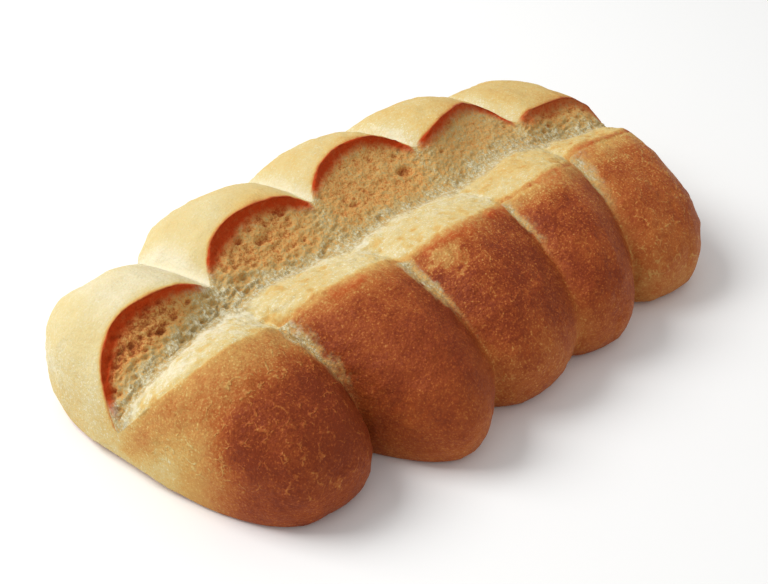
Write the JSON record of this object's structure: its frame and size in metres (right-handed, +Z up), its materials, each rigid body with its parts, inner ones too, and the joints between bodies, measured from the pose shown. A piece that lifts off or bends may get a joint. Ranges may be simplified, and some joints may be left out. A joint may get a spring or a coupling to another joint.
{
  "type": "pull-apart bread loaf",
  "caption": "Baked loaf of soft rolls joined side by side in a row, opened along the top by one long slash; rests on its flat base and is pulled apart at the seams.",
  "frame": {"origin": "middle of the base, on the surface that the loaf rests on", "axes": "+X along the loaf from the blunt end to the rounded end, +Y across it towards the pale crust and the crumb wall of the slash, +Z up"},
  "size_m": [0.2382, 0.141, 0.0495],
  "materials": {
    "bread": "matt baked crust, browned on one side and pale gold on the other, with open cream crumb in the slash"
  },
  "bodies": {
    "root": {"loaf": "bread"}
  },
  "joints": []
}
